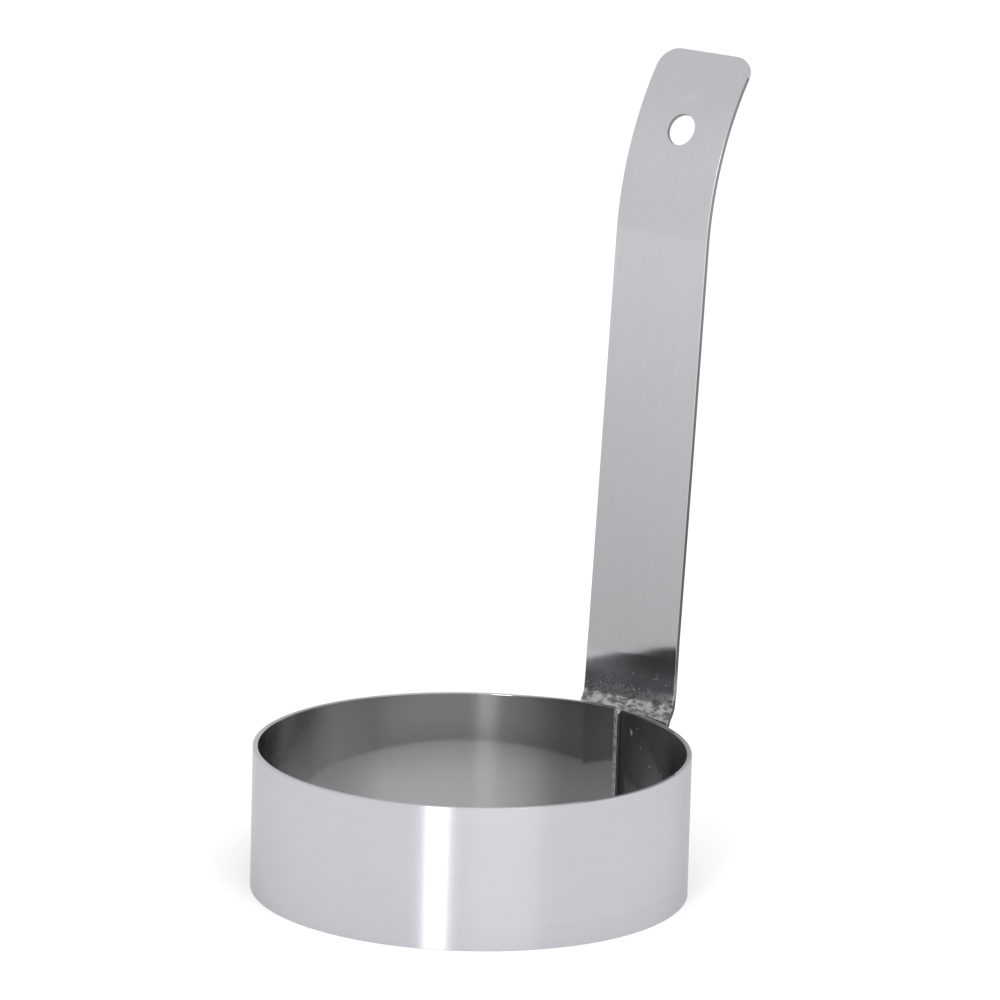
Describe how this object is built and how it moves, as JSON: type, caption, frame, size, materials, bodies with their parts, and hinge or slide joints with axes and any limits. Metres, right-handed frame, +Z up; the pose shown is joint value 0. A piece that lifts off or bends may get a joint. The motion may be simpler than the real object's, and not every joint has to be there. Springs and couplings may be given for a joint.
{
  "type": "egg ring",
  "caption": "Round metal egg ring with an upright flat strap handle that curls outward at its top around a hang hole.",
  "frame": {"origin": "centre of the ring in the plane of its base rim, on the axis of the round inner wall", "axes": "+Z up along the ring's axis, +Y from the ring's centre towards the handle and square to its flat, X along the handle's width"},
  "size_m": [0.1, 0.1274, 0.1855],
  "materials": {
    "ring_steel": "bright cold-rolled stainless strip, finely brushed along its length",
    "handle_steel": "bright stainless strap with faint buffing marks",
    "weld_steel": "stainless fused inside the joint, not seen from outside"
  },
  "bodies": {
    "root": {"ring_band": "ring_steel", "handle_strap": "handle_steel", "spot_welds": "weld_steel"}
  },
  "joints": []
}
